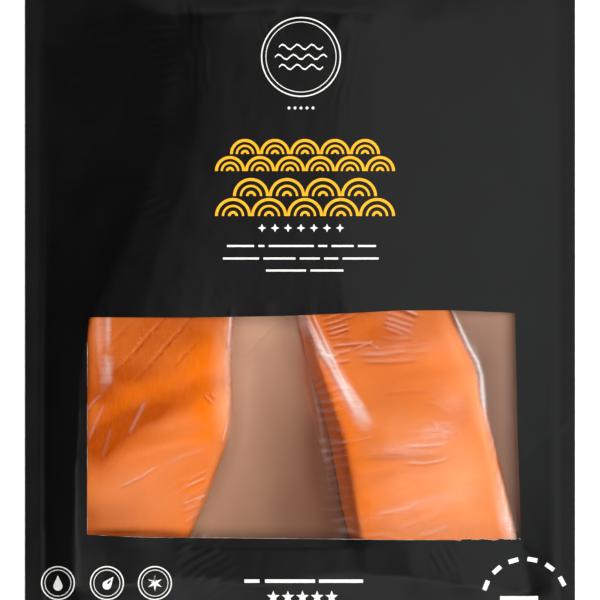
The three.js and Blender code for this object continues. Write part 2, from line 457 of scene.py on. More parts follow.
# %% Tones painted on the portions
# how much painted side shade the left portion gets
LEFT_SIDE_SHADE_SHARE = 0.25
LIT_SIDE = [(302, 322, 12, 30, 12, 0.7)]

for portion, tones in ((left_portion, LEFT_TONES), (right_portion, RIGHT_TONES)):
    for name, patches in tones.items():
        tone_piece(portion, name, patches)
    steep = np.clip(1.0 - normals_of(portion)[:, 2] * 1.5, 0, 1)
    unlit = 1.0 - soft_patches(points_of(portion), LIT_SIDE)
    paint(portion, "side", steep * (LEFT_SIDE_SHADE_SHARE if portion is left_portion else unlit))
print("tones:", sorted(LEFT_TONES))

# %% [markdown]
# ## How the front film lies
# A film under vacuum is a stretched skin: it rests on whatever is highest, spans narrow
# valleys, and turns in a small curve at the foot of each portion. It could be simulated
# as cloth, but a height map is faster and always comes out the same. Rays cast down find
# the portions' tops, and the frame's own film shows where the skin spans a valley. Then
# each point of the map is pulled down a little and back to the mean of its neighbours,
# over and over, and is never let below what it rests on. The sealed rim stays flat.

# %% The heights that the film rests on
RAY_START = 0.1
CELL = 0.8 * MM
FLAT = 0.62 * MM
CLEARANCE = 0.42 * MM
pack_low, pack_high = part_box("front_film")
HALF_WIDTH = float(pack_high.x)
HALF_HEIGHT = float(pack_high.y)
cell_x = np.linspace(-HALF_WIDTH, HALF_WIDTH, round(2 * HALF_WIDTH / CELL) + 1)
cell_y = np.linspace(-HALF_HEIGHT, HALF_HEIGHT, round(2 * HALF_HEIGHT / CELL) + 1)


def tops(piece):
    mesh = piece.data
    faces = [tuple(face.vertices) for face in mesh.polygons]
    tree = BVHTree.FromPolygons([vertex.co for vertex in mesh.vertices], faces)
    low = points_of(piece).min(0)
    high = points_of(piece).max(0)
    heights = np.zeros((len(cell_y), len(cell_x)))
    for row in np.flatnonzero((cell_y > low[1]) & (cell_y < high[1])):
        for column in np.flatnonzero((cell_x > low[0]) & (cell_x < high[0])):
            start = Vector((cell_x[column], cell_y[row], RAY_START))
            hit = tree.ray_cast(start, Vector((0, 0, -1)))[0]
            if hit:
                heights[row, column] = hit.z
    return heights


def neighbours(heights):
    wide = np.pad(heights, 1, mode="edge")
    return wide[:-2, 1:-1], wide[2:, 1:-1], wide[1:-1, :-2], wide[1:-1, 2:]


flesh_tops = np.maximum(tops(left_portion), tops(right_portion))
flesh_tops = np.maximum.reduce([flesh_tops, *neighbours(flesh_tops)])
spanned = np.maximum(tops(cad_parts["front_film"]), tops(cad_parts["window_film"]))
print("portions' highest point:", round(flesh_tops.max() / MM, 2), "mm")

# %% [markdown]
# In the window the skin clings to all that it covers, down to the backing between the
# portions. Under the print it spans from one portion to the other. So how hard it is
# drawn down differs by place. Each of the two numbers is the curve that the skin takes
# on, in 1/mm: below zero it bulges a little, and far above zero it clings.

# %% How hard the skin is drawn down
SPANNING = -0.0022
CLINGING = 0.7

grid_x, grid_y = np.meshgrid(cell_x / MM, cell_y / MM)
between = smooth_step((grid_x + 62) / 16) * smooth_step((54 - grid_x) / 16)
in_window = smooth_step((-8 - grid_y) / 26) * smooth_step((grid_y + 90) / 18) * between
curve = SPANNING + (CLINGING - SPANNING) * in_window
pull = curve / MM * CELL**2 / 4
pull_range = [round(float(side) / MM, 4) for side in (pull.min(), pull.max())]
print("pull on the skin, least and most, in mm a round:", pull_range)

# %% [markdown]
# The skin starts with straight slopes down from all that it rests on, which is near to
# how it ends, so fewer rounds are needed to draw it taut.

# %% The skin, drawn down
BELOW_FRAME = 0.9 * MM
SEAL = 8 * MM
STEEPEST = 1.1
SLOPE_ROUNDS = 40
SKIN_ROUNDS = 3000

for _ in range(3):
    spanned = sum(neighbours(spanned)) / 4
from_edge = np.minimum(HALF_WIDTH / MM - np.abs(grid_x), HALF_HEIGHT / MM - np.abs(grid_y)) * MM
frame_film = (spanned - BELOW_FRAME) * (1 - in_window)
rest = np.maximum(np.maximum(flesh_tops + CLEARANCE, frame_film), FLAT)
sealed_rim = from_edge < SEAL
skin = rest.copy()
for _ in range(SLOPE_ROUNDS):
    skin = np.maximum(skin, np.maximum.reduce(neighbours(skin)) - STEEPEST * CELL)
for _ in range(SKIN_ROUNDS):
    skin = np.maximum(rest, sum(neighbours(skin)) / 4 - pull)
    skin[sealed_rim] = FLAT
for _ in range(2):
    skin = np.maximum(rest, (skin + sum(neighbours(skin)) / 4) / 2)
print("the skin stands", round((skin - rest).max() / MM, 2), "mm off at most")

# %% [markdown]
# The map has a height every 0.8 mm. Between them the heights follow a smooth cubic curve,
# or the cells would show in the gloss.


# %% Heights between the cells
def cubic_weights(part):
    return (
        ((2 - part) * part - 1) * part / 2,
        ((3 * part - 5) * part**2 + 2) / 2,
        ((4 - 3 * part) * part + 1) * part / 2,
        (part - 1) * part**2 / 2,
    )


def skin_height(x, y):
    column = (x + HALF_WIDTH) / (cell_x[1] - cell_x[0])
    row = (y + HALF_HEIGHT) / (cell_y[1] - cell_y[0])
    first_column = np.clip(np.floor(column).astype(int), 0, len(cell_x) - 2)
    first_row = np.clip(np.floor(row).astype(int), 0, len(cell_y) - 2)
    by_column = cubic_weights(column - first_column)
    by_row = cubic_weights(row - first_row)
    total = np.zeros(np.shape(x))
    for down_step, row_weight in enumerate(by_row):
        near_row = np.clip(first_row + down_step - 1, 0, len(cell_y) - 1)
        for side_step, column_weight in enumerate(by_column):
            near_column = np.clip(first_column + side_step - 1, 0, len(cell_x) - 1)
            total += row_weight * column_weight * skin[near_row, near_column]
    return total


middle_height = skin_height(np.array([0.06]), np.array([-0.05]))[0]
print("the skin over the right portion is", round(middle_height / MM, 2), "mm up")

# %% [markdown]
# ## Wrinkles in the film
# The wrinkles are what makes it read as film. Single creases are laid down one by one.
# Each is a line through points of the photograph, then its width in pixels at the start
# and at the end, and its height in millimetres. Where many run side by side, at the
# corners of a pull or across a steep side, one field of ribs stands for them all.

# %% Single creases: the right portion
ALONG_RIGHT_EDGE = [(449, 302), (454, 313), (462, 331), (470, 348)]
ALONG_RIGHT_EDGE += [(478, 362), (482, 376), (484, 400), (486, 418)]
CREASES = [
    # the long fold along the right portion's left shoulder
    ([(302, 306), (312, 326), (322, 348), (334, 372), (348, 398), (361, 424)], 1.7, 4.6, 0.36),
    ([(308, 302), (317, 324), (327, 346), (338, 370), (350, 394)], 1.6, 2.6, 0.36),
    ([(305, 318), (313, 336), (320, 352), (329, 366)], 1.3, 1.5, 0.26),
    ([(316, 342), (326, 354), (338, 364)], 1.4, 1.4, 0.24),
    ([(318, 352), (328, 355), (340, 355)], 1.4, 1.3, 0.22),
    ([(340, 374), (352, 396), (364, 414), (373, 430)], 3.0, 6.5, 0.24),
    ([(346, 380), (356, 396), (366, 410)], 2.0, 2.6, 0.20),
    # the fold that stands along its right edge
    (ALONG_RIGHT_EDGE, 2.0, 2.6, 0.56),
    ([(480, 372), (482, 392), (485, 414), (492, 440), (498, 468)], 3.0, 2.4, 0.26),
    ([(496, 460), (503, 495), (509, 522), (516, 552)], 2.4, 4.4, 0.34),
    # the fan that starts from the long fold
    ([(315, 310), (332, 306), (352, 300)], 1.3, 1.1, 0.17),
    ([(318, 315), (334, 311), (354, 304)], 1.3, 1.1, 0.19),
    ([(320, 320), (336, 315), (356, 308)], 1.3, 1.1, 0.18),
    ([(322, 326), (336, 321), (354, 314)], 1.4, 1.2, 0.18),
    ([(324, 331), (337, 327), (352, 322)], 1.4, 1.2, 0.18),
    ([(347, 318), (358, 312), (370, 309)], 1.4, 1.2, 0.10),
    ([(352, 302), (362, 307), (372, 315)], 1.3, 1.2, 0.10),
    ([(327, 335), (338, 332), (352, 327)], 1.5, 1.2, 0.20),
    ([(329, 339), (340, 337), (354, 336)], 1.4, 1.4, 0.14),
    ([(330, 345), (348, 344), (370, 342)], 1.6, 1.4, 0.20),
    ([(354, 349), (364, 345), (376, 340)], 1.5, 1.3, 0.18),
    ([(333, 353), (342, 352), (351, 350)], 1.6, 1.3, 0.18),
    ([(334, 361), (342, 361), (352, 359)], 1.8, 1.4, 0.18),
    ([(368, 342), (373, 345), (380, 349)], 1.3, 1.3, 0.14),
    # the fan across the middle of the top
    ([(388, 305), (402, 309), (420, 316)], 1.3, 1.1, 0.17),
    ([(385, 311), (400, 315), (419, 322)], 1.3, 1.1, 0.18),
    ([(384, 317), (398, 321), (416, 327)], 1.6, 1.4, 0.18),
    ([(381, 321), (396, 326), (414, 333)], 1.8, 1.4, 0.20),
    ([(384, 327), (396, 331), (407, 336)], 1.8, 1.5, 0.16),
    ([(378, 337), (396, 338), (416, 337)], 2.4, 2.0, 0.10),
    ([(356, 354), (382, 353), (412, 350)], 2.2, 2.0, 0.12),
    ([(360, 361), (390, 361), (422, 359)], 2.4, 2.2, 0.12),
    ([(372, 294), (390, 301), (408, 310), (424, 317)], 1.3, 1.4, 0.34),
    # across its top face, lower down
    ([(380, 392), (406, 390), (434, 389)], 2.6, 2.6, 0.07),
    ([(320, 445), (340, 443), (358, 440), (380, 435)], 1.5, 1.3, 0.15),
    ([(420, 430), (438, 428), (452, 434)], 2.2, 2.0, 0.09),
    ([(404, 446), (424, 445), (440, 444), (452, 441)], 1.6, 1.5, 0.27),
    ([(402, 462), (424, 463), (442, 460), (454, 455)], 1.8, 1.5, 0.28),
    ([(430, 418), (436, 424), (438, 432)], 1.3, 1.2, 0.12),
    ([(436, 426), (444, 422), (452, 426)], 1.3, 1.2, 0.12),
    ([(440, 438), (446, 432), (454, 434)], 1.3, 1.2, 0.12),
    ([(426, 432), (434, 436), (444, 434)], 1.3, 1.2, 0.10),
    ([(395, 452), (412, 454), (440, 452)], 3.2, 3.2, 0.08),
    ([(372, 515), (392, 511), (408, 508), (424, 500)], 2.0, 2.2, 0.16),
    ([(396, 527), (424, 518), (452, 504)], 3.4, 3.4, 0.09),
    ([(414, 537), (432, 532), (452, 524)], 3.0, 3.0, 0.13),
    ([(425, 400), (440, 405), (452, 414)], 2.4, 2.2, 0.08),
    ([(395, 470), (415, 478), (440, 476)], 3.0, 3.0, 0.06),
    ([(362, 536), (384, 534), (400, 540)], 2.4, 2.4, 0.12),
]
print(len(CREASES), "creases on the right portion")

# %% Single creases: the left portion, the backing and the print
CREASES += [
    # the left portion
    ([(108, 298), (108, 330), (107, 352)], 3.2, 3.2, 0.15),
    ([(104, 350), (108, 366), (110, 388)], 3.0, 4.2, 0.16),
    ([(98, 306), (99, 344), (100, 380)], 3.6, 3.6, 0.10),
    ([(84, 414), (93, 402), (103, 392)], 2.4, 2.0, 0.18),
    ([(87, 444), (95, 424), (106, 400)], 3.4, 2.4, 0.17),
    ([(127, 438), (137, 418), (147, 398)], 2.6, 3.6, 0.18),
    ([(101, 462), (106, 446), (112, 424)], 3.0, 3.0, 0.13),
    ([(118, 488), (142, 476), (162, 463)], 2.0, 1.6, 0.23),
    ([(160, 466), (184, 455), (210, 448)], 4.0, 4.0, 0.12),
    ([(204, 393), (214, 404)], 1.6, 1.6, 0.20),
    ([(211, 391), (216, 398)], 1.5, 1.5, 0.22),
    ([(231, 306), (230, 328), (228, 350)], 1.8, 1.8, 0.42),
    ([(228, 418), (226, 430), (222, 444)], 1.5, 1.5, 0.30),
    ([(186, 481), (210, 469)], 1.5, 1.4, 0.17),
    ([(183, 488), (208, 476)], 1.5, 1.4, 0.18),
    ([(180, 505), (208, 494)], 1.6, 1.5, 0.22),
    ([(182, 512), (204, 503)], 1.5, 1.4, 0.15),
    ([(184, 523), (202, 512)], 1.6, 1.5, 0.16),
    # the backing between the portions
    ([(243, 358), (262, 336), (282, 316)], 1.6, 1.8, 0.16),
    # the foot of the right portion
    ([(296, 306), (305, 344), (311, 380), (318, 414), (325, 456), (335, 484)], 2.0, 2.4, 0.12),
    # the printed front, above the window
    ([(376, 120), (400, 114)], 1.8, 1.8, 0.12),
    ([(398, 272), (420, 276)], 1.8, 1.8, 0.12),
    ([(262, 22), (268, 38)], 1.8, 1.8, 0.14),
    ([(270, 22), (276, 40)], 1.8, 1.8, 0.16),
    ([(278, 26), (282, 38)], 1.6, 1.6, 0.12),
    ([(84, 30), (100, 26)], 2.2, 2.2, 0.14),
    ([(90, 42), (128, 34)], 2.4, 2.4, 0.18),
    ([(106, 50), (130, 44)], 2.2, 2.2, 0.14),
    ([(120, 2), (128, 8)], 2.0, 2.0, 0.16),
    # right of the window and below it
    ([(574, 416), (546, 440), (520, 458)], 3.0, 3.0, 0.26),
    ([(86, 438), (60, 500), (24, 562)], 6.0, 8.0, 0.22),
    ([(512, 538), (546, 568), (576, 602)], 3.4, 3.4, 0.28),
]
print(len(CREASES), "creases laid by hand in all")

# %% [markdown]
# A crease is highest along its line and fades out to both sides and at both ends.
# `from_line` tells how far a place is from the line, and what share of the line is
# behind the nearest point on it.

# %% The heights of the creases
CREASE_WIDTH = 0.8
TAPER = 0.22


def from_line(across, down, points):
    best = np.full(np.shape(across), np.inf)
    share = np.zeros(np.shape(across))
    lengths = [math.dist(first, last) for first, last in zip(points, points[1:])]
    passed = 0.0
    for (start_x, start_y), (end_x, end_y), length in zip(points, points[1:], lengths):
        way_x, way_y = (end_x - start_x) / length, (end_y - start_y) / length
        along = np.clip((across - start_x) * way_x + (down - start_y) * way_y, 0, length)
        away = np.hypot(across - start_x - along * way_x, down - start_y - along * way_y)
        nearer = away < best
        best = np.where(nearer, away, best)
        share = np.where(nearer, (passed + along) / sum(lengths), share)
        passed += length
    return best, share


def crease_heights(across, down):
    total = np.zeros(np.shape(across))
    for points, first_width, last_width, height in CREASES:
        away, share = from_line(across, down, points)
        width = CREASE_WIDTH * (first_width + (last_width - first_width) * share)
        taper = smooth_step(share / TAPER) * smooth_step((1 - share) / TAPER)
        total += height * taper * np.exp(-((away / width) ** 2))
    return total


print("at its middle a crease has", smooth_step(0.5 / TAPER), "of its height")

# %% [markdown]
# A field of ribs is a wave that fades out towards its edges. It sways, and it comes and
# goes, so that no two ribs are alike. It could be a bump in the material, but real
# heights show from the side too. A field is its middle across and down, half its length,
# half its width and its turn, as a patch is, then the ribs' pitch in pixels and their
# height in millimetres.

# %% Fields of ribs
RIBS = [
    # across the right portion's steep left side
    (330, 420, 14, 44, 6, 9.0, 0.18),
    (342, 498, 13, 44, 4, 11.0, 0.15),
    # the fans on its top
    (338, 336, 13, 20, 14, 5.0, 0.13),
    (399, 325, 18, 10, -18, 4.6, 0.12),
    (392, 346, 34, 14, 3, 6.5, 0.07),
    (430, 440, 26, 14, 3, 7.0, 0.06),
    (420, 510, 44, 22, 14, 11.0, 0.05),
    # the left portion's lower right corner
    (196, 500, 20, 30, 26, 9.0, 0.13),
    # across the left portion's side, under the print
    (162, 85, 16, 70, 2, 8.5, 0.30),
    (176, 40, 14, 40, 2, 7.0, 0.22),
    (150, 190, 14, 40, 18, 9.0, 0.22),
    # the fans below the window
    (206, 566, 22, 30, 32, 9.0, 0.45),
    (480, 560, 16, 26, 116, 7.0, 0.38),
    (446, 560, 14, 16, 110, 8.0, 0.32),
    # the portions' upper ends
    (195, 42, 40, 12, 96, 9.0, 0.24),
    (345, 62, 50, 12, 84, 10.0, 0.20),
]
rib_sway = unevenness(41, 60, 10)
rib_share = unevenness(42, 34, 7)


def rib_heights(across, down):
    x, y = spot(across, down)
    sway = rib_sway(x, y)
    share = np.clip(0.75 + 0.6 * rib_share(x, y), 0.1, 1.4)
    total = np.zeros(np.shape(across))
    for middle_x, middle_y, length, width, turn, pitch, height in RIBS:
        along, off = along_and_off(across, down, middle_x, middle_y, turn)
        inside = np.exp(-((along / length) ** 4) - (off / width) ** 4)
        wave = 0.5 + 0.5 * np.cos(math.tau * (off / pitch + 0.55 * sway))
        total += height * share * inside * wave**2
    return total


print(len(RIBS), "fields of ribs")

# %% [markdown]
# ## The whole film
# The film lies on the skin, with its folds on top. It is nowhere quite flat: a slow sag
# and a fine flutter lift it by about a tenth of a millimetre, but not at the sealed rim,
# which is pressed a little lower. `laid` gives a grid of points on it, each moved along
# the film's own upright by `lift`, and how far each point is in a fold.

# %% The whole film
LOOSE = 0.10
SAG = 0.09
FLUTTER = 0.05
PRESSED = 0.06
FOLD_SHARE = 2.2
sag = unevenness(51, 90, 18)
flutter = unevenness(52, 16, 4)


def film_height(x, y):
    lying = skin_height(x, y)
    across, down = seen(x, y, lying)
    folds = crease_heights(across, down) + rib_heights(across, down)
    edge = np.minimum(HALF_WIDTH - np.abs(x), HALF_HEIGHT - np.abs(y)) / MM
    inner = smooth_step((edge - 6) / 8)
    loose = LOOSE + SAG * sag(x, y) + FLUTTER * flutter(x, y)
    sealed = PRESSED * (1 - smooth_step((edge - 6.4) / 3))
    height = lying + (folds + loose * inner - sealed) * MM
    return height, np.clip(folds * FOLD_SHARE, 0, 1)


def laid(lines_x, lines_y, lift):
    x, y = np.meshgrid(lines_x, lines_y)
    x, y = window_bow(x, y)
    height, folds = film_height(x, y)
    slope_x = np.gradient(height, axis=1) / np.gradient(x, axis=1)
    slope_y = np.gradient(height, axis=0) / np.gradient(y, axis=0)
    upright = 1 / np.sqrt(1 + slope_x**2 + slope_y**2)
    raised = lift * upright
    surface = np.stack([x - slope_x * raised, y - slope_y * raised, height + raised], -1)
    return surface, folds


print("folds stand up to", max(crease[-1] for crease in CREASES), "mm high")

# %% [markdown]
# ## The window's outline
# The printer laid the window down as a rectangle, but the film is drawn over the fish, so
# its edges bow, and near the lower right corner the black ink has a ragged edge. Each bow
# is two lists: places along the edge in pixels, and how far the edge is moved there.
# `under_camera` keeps what is seen at a place of the photograph there when it is lifted.

# %% The window's outline
WINDOW_LEFT, WINDOW_TOP = spot(87.2, 315)
WINDOW_RIGHT, WINDOW_BOTTOM = spot(518, 540)
TOP_BOW = ([87, 190, 284, 356, 400, 450, 518], [2.2, 2.7, 1, -2.1, -4.6, -4.7, -2])
BOTTOM_BOW = ([87, 116, 150, 236, 404, 452, 520], [-5.4, -3.8, -2.5, -1.8, 0, 0, -1])
RIGHT_BOW = ([310, 440, 520], [-3, 0, 3])
BOW_REACH = 9 * MM
RAGGED_REACH = 2 * MM
RAGGED_BY = 1.3
ragged = unevenness(61, 4.2, 1.3)


def under_camera(x, y):
    nearer = 1 - skin_height(x, y) / CAMERA_HEIGHT
    return x * nearer, y * nearer


def near_edge(place, edge, reach):
    return np.clip(1 - np.abs(place - edge) / reach, 0, 1)


def window_bow(x, y):
    across, down = x / PIXEL + MIDDLE, MIDDLE - y / PIXEL
    top = np.interp(across, *TOP_BOW) * near_edge(y, WINDOW_TOP, BOW_REACH)
    torn = smooth_step((across - 448) / 10) * smooth_step((524 - across) / 6)
    torn = RAGGED_BY * ragged(x, np.zeros(np.shape(x))) * torn
    bottom = np.interp(across, *BOTTOM_BOW) * near_edge(y, WINDOW_BOTTOM, BOW_REACH)
    bottom = bottom + torn * near_edge(y, WINDOW_BOTTOM, RAGGED_REACH)
    right = np.interp(down, *RIGHT_BOW) * near_edge(x, WINDOW_RIGHT, BOW_REACH)
    return under_camera(x + right * PIXEL, y - (top + bottom) * PIXEL)


window_sides = (WINDOW_LEFT, WINDOW_RIGHT, WINDOW_BOTTOM, WINDOW_TOP)
print("window in mm:", [round(side / MM, 1) for side in window_sides])

# %% [markdown]
# ## The two pieces of front film
# The clear window and the printed part are one film on the real pack. Here they are two
# pieces with their own finishes, and the clear one runs a little way under the print.
# Each starts as a flat grid whose lines lie closer where the film is wrinkled. The grid
# is laid on the heights, and Solidify gives it the thickness of a film.


# %% Grid lines
def spaced(*stops):
    lines = []
    for (start, spacing), (end, _) in zip(stops, stops[1:]):
        count = max(1, round((end - start) / spacing))
        lines.extend(np.linspace(start, end, count, endpoint=False))
    return np.array([*lines, stops[-1][0]]) * MM


def flat_grid(name, columns, rows):
    bpy.ops.mesh.primitive_grid_add(x_subdivisions=columns, y_subdivisions=rows, size=2)
    piece = bpy.context.object
    piece.name = piece.data.name = name
    return piece


def column_and_row(piece, columns, rows):
    flat = points_of(piece)
    column = np.rint((flat[:, 0] + 1) / 2 * columns).astype(int)
    row = np.rint((flat[:, 1] + 1) / 2 * rows).astype(int)
    return column, row


def cut_hole(piece, lines_x, lines_y, hole):
    left, right, bottom, top = hole
    centres = triples(piece.data.polygons, "center")
    column = ((centres[:, 0] + 1) / 2 * (len(lines_x) - 1)).astype(int)
    row = ((centres[:, 1] + 1) / 2 * (len(lines_y) - 1)).astype(int)
    middle_x = (lines_x[column] + lines_x[column + 1]) / 2
    middle_y = (lines_y[row] + lines_y[row + 1]) / 2
    inside = (middle_x > left) & (middle_x < right) & (middle_y > bottom) & (middle_y < top)
    bpy.context.tool_settings.mesh_select_mode = (False, False, True)
    begin_edit(piece)
    bpy.ops.mesh.select_all(action="DESELECT")
    end_edit()
    piece.data.polygons.foreach_set("select", inside)
    bpy.ops.object.mode_set(mode="EDIT")
    bpy.ops.mesh.delete(type="FACE")
    end_edit()


print("a 1 mm grid over 3 mm has lines at", (spaced((0, 1), (3, 1)) / MM).round(3))


# %% Grids laid on the film
SHARP = math.radians(80)


def grid_piece(name, lines_x, lines_y, lift, hole=None):
    columns, rows = len(lines_x) - 1, len(lines_y) - 1
    piece = flat_grid(name, columns, rows)
    if hole:
        cut_hole(piece, lines_x, lines_y, hole)
    column, row = column_and_row(piece, columns, rows)
    surface, folds = laid(lines_x, lines_y, lift)
    move_points(piece, surface[row, column])
    paint(piece, "fold", folds[row, column])
    return piece


def thicken(piece, thickness):
    modify(piece, "SOLIDIFY", thickness=thickness, offset=-1)
    only(piece)
    bpy.ops.object.shade_smooth_by_angle(angle=SHARP)


print("edge of the pack:", round(HALF_WIDTH / MM, 1), round(HALF_HEIGHT / MM, 1), "mm")

# %% [markdown]
# Soft patches of painted glare stand for the whitish glare where the window's film is
# creased too finely to model. They paint the film white there, a painted highlight.

# %% Painted glare on the clear window
PAINTED_GLARE = [
    # the glare on the left portion
    (108, 326, 3, 20, 0, 0.42),
    (100, 332, 7, 26, 0, 0.24),
    (107, 371, 5.5, 16, -10, 0.5),
    (229, 345, 4, 34, -2, 0.5),
    (229, 400, 3, 40, 2, 0.35),
    # along the right portion's left shoulder
    (310, 328, 5, 24, 24, 0.2),
    (324, 350, 7, 16, 24, 0.5),
    (343, 386, 8, 26, 27, 0.6),
    (360, 416, 7, 14, 27, 0.55),
    (302, 320, 6, 18, 14, 0.2),
    (318, 410, 9, 60, 9, 0.07),
    (334, 500, 9, 40, 9, 0.05),
    # across its top
    (438, 432, 22, 11, 4, 0.34),
    (400, 450, 30, 9, 4, 0.26),
    (395, 350, 56, 10, 4, 0.16),
    (400, 322, 20, 12, -18, 0.14),
    (430, 529, 90, 9, 0, 0.1),
    (455, 404, 22, 14, -30, 0.2),
    (420, 505, 56, 7, 14, 0.22),
    (430, 480, 60, 50, 0, 0.06),
    # its right edge
    (480, 388, 4, 36, 8, 0.5),
    (468, 348, 4, 26, 26, 0.45),
    (505, 520, 5.5, 26, 14, 0.7),
    # over the backing
    (250, 420, 20, 90, 4, 0.05),
]
print(len(PAINTED_GLARE), "patches of haze")

# %% [markdown]
# A crease also dims what lies just beside it, away from the light. That is a map of
# painted shade: the creases and ribs again, a few pixels off, less those that are really
# there. It is fainter lower down in the window. The window laps under the print all round.

# %% The clear window
LAP = 1.2
UNDER_PRINT = 0.2 * MM
WINDOW_THICKNESS = 0.09 * MM
CREASE_SHADE_ACROSS, CREASE_SHADE_DOWN = 1.0, 2.4
CREASE_SHADE_LESS = 1.1

window_x = spaced(
    (WINDOW_LEFT / MM - LAP, 0.5), (-22, 1.3), (-4, 0.5), (70.5, 1.2), (WINDOW_RIGHT / MM + LAP, 1)
)
window_y = spaced((WINDOW_BOTTOM / MM - LAP, 0.53), (WINDOW_TOP / MM + LAP, 1))
window_film = grid_piece("clear_window", window_x, window_y, -UNDER_PRINT)
tone_piece(window_film, "painted_glare", PAINTED_GLARE)
across, down = seen(*points_of(window_film).T)
beside = crease_heights(across + CREASE_SHADE_ACROSS, down - CREASE_SHADE_DOWN)
beside = beside - CREASE_SHADE_LESS * crease_heights(across, down)
between_ribs = rib_heights(across, down - CREASE_SHADE_DOWN) - CREASE_SHADE_LESS * rib_heights(across, down)
upper_part = 1 - 0.65 * smooth_step((down - 380) / 40)
# painted shade beside each crease and rib
paint(window_film, "crease_shade", np.clip(beside * 2.6 + between_ribs * 1.8, 0, 1) * upper_part)
thicken(window_film, WINDOW_THICKNESS)
told(window_film)

# %% [markdown]
# The printed film is the same kind of grid, with the faces of the window deleted before
# it is laid on the heights. Its lines are close together over the portions and farther
# apart along the rim.

# %% The printed film
PRINT_THICKNESS = 0.12 * MM

print_x = spaced(
    (-HALF_WIDTH / MM, 1.6),
    (-86, 0.72),
    (WINDOW_LEFT / MM, 0.78),
    (WINDOW_RIGHT / MM, 1.0),
    (86, 1.6),
    (HALF_WIDTH / MM, 1),
)
print_y = spaced(
    (-HALF_HEIGHT / MM, 1.7),
    (-116, 0.85),
    (WINDOW_BOTTOM / MM, 1.25),
    (WINDOW_TOP / MM, 1.05),
    (84, 0.85),
    (104, 1.7),
    (HALF_HEIGHT / MM, 1),
)
printed_film = grid_piece("printed_front", print_x, print_y, 0, window_sides)
thicken(printed_film, PRINT_THICKNESS)
told(printed_film)

# %% [markdown]
# ## The back film
# The back of the pouch is a second film, tan on the inside and black outside. It lies
# flat on the table, a hair uneven. A grid is enough: it is thickened, and its faces are
# later sorted by which way they look.

# %% The back film
BACK_SPACING = 1.6
BACK_HEIGHT = 0.34
BACK_THICKNESS = 0.26 * MM

back_x = spaced((-HALF_WIDTH / MM, BACK_SPACING), (HALF_WIDTH / MM, 1))
back_y = spaced((-HALF_HEIGHT / MM, BACK_SPACING), (HALF_HEIGHT / MM, 1))
back_film = flat_grid("back_of_pouch", len(back_x) - 1, len(back_y) - 1)
back_points = points_of(back_film) * np.array([HALF_WIDTH, HALF_HEIGHT, 0])
back_points[:, 2] = (BACK_HEIGHT + 0.03 * sag(back_points[:, 0], back_points[:, 1])) * MM
move_points(back_film, back_points)
thicken(back_film, BACK_THICKNESS)
told(back_film)

# %% [markdown]
# Its tones are painted light and shade: the shade that the portions throw on it, lighter
# patches where more light falls, and the warm light that comes off them. A darker, cooler
# strip right of the portions is painted shade too.

# %% Tones of the back film
BACK_TONES = {
    "deep_and_shade": [
        (326, 430, 22, 56, 12, 0.5),
        (284, 470, 24, 90, 4, 0.3),
        (332, 480, 36, 80, 12, 0.95),
        (285, 520, 44, 40, 0, 0.35),
        (340, 540, 40, 26, 0, 0.3),
        (240, 480, 60, 70, 0, 0.12),
        (506, 470, 14, 50, 6, 0.15),
    ],
    # painted light: lighter where more light falls
    "pale_and_lit": [
        (258, 324, 34, 22, 0, 0.3),
        (240, 370, 14, 50, 0, 0.25),
        (298, 332, 8, 26, 8, 0.3),
    ],
    "warm": [
        (309, 368, 10, 48, 9, 0.85),
        (326, 440, 6, 34, 11, 0.3),
    ],
    # painted shade: the darker, cooler strip right of the portions
    "violet_shade": [
        (490, 400, 40, 110, 6, 0.8),
    ],
}
for name, patches in BACK_TONES.items():
    tone_piece(back_film, name, patches)
print("tones:", sorted(BACK_TONES))

# %% [markdown]
# ## The print
# The front bears plain ornaments in white and gold ink: a double ring with waves, two
# bands of fish scales, rows of dots, diamonds and rules, three round marks, five stars,
# and an arc of bars. They could be a pattern in the film's material, but shapes stay
# crisp from near by. Each is modelled once from a circle or a grid and copied where it
# repeats. Places and sizes are in pixels.

# %% Flat shapes
INK_HEIGHT = 30 * MM


def ring(across, down, radius, width, sides=72):
    x, y = spot(across, down)
    bpy.ops.mesh.primitive_circle_add(
        vertices=sides, radius=radius * PIXEL, fill_type="NGON", location=(x, y, INK_HEIGHT)
    )
    piece = bpy.context.object
    begin_edit(piece)
    bpy.ops.mesh.inset(thickness=width * PIXEL, depth=0)
    bpy.ops.mesh.delete(type="FACE")
    end_edit()
    return piece


def bar(across, down, length, width, turn=0.0):
    x, y = spot(across, down)
    steps = max(2, round(length / 3))
    bpy.ops.mesh.primitive_grid_add(x_subdivisions=steps, y_subdivisions=1, size=PIXEL)
    piece = bpy.context.object
    begin_edit(piece)
    bpy.ops.transform.resize(value=(length, width, 1))
    end_edit()
    piece.rotation_euler = (0, 0, turn)
    piece.location = (x, y, INK_HEIGHT)
    return piece


def spiked(across, down, radius, points, waist):
    x, y = spot(across, down)
    bpy.ops.mesh.primitive_circle_add(
        vertices=2 * points, radius=radius * PIXEL, fill_type="TRIFAN", location=(x, y, INK_HEIGHT)
    )
    piece = bpy.context.object
    corners = points_of(piece)
    turned = np.degrees(np.arctan2(corners[:, 0], corners[:, 1])) * points / 360
    inner = np.abs(turned - np.rint(turned)) > 0.25
    corners[inner] *= waist
    move_points(piece, corners)
    return piece


print("ink shapes start", INK_HEIGHT / MM, "mm up and are dropped on to the film later")

# %% [markdown]
# The white ornaments stand in the middle of the front. At the top is the double ring,
# with three waves in it. Each wave is a bar whose points are moved up and down.

# %% White ink: the ring and its waves
white = [ring(301, 57, 40, 1.3, 96), ring(301, 57, 35.5, 0.8, 96)]


def wave(across, down, length, width, crests, rise):
    piece = bar(across, down, length, width)
    points = points_of(piece)
    run = points[:, 0] / (length * PIXEL) + 0.5
    points[:, 1] += rise * PIXEL * np.sin(run * crests * math.tau)
    move_points(piece, points)
    return piece


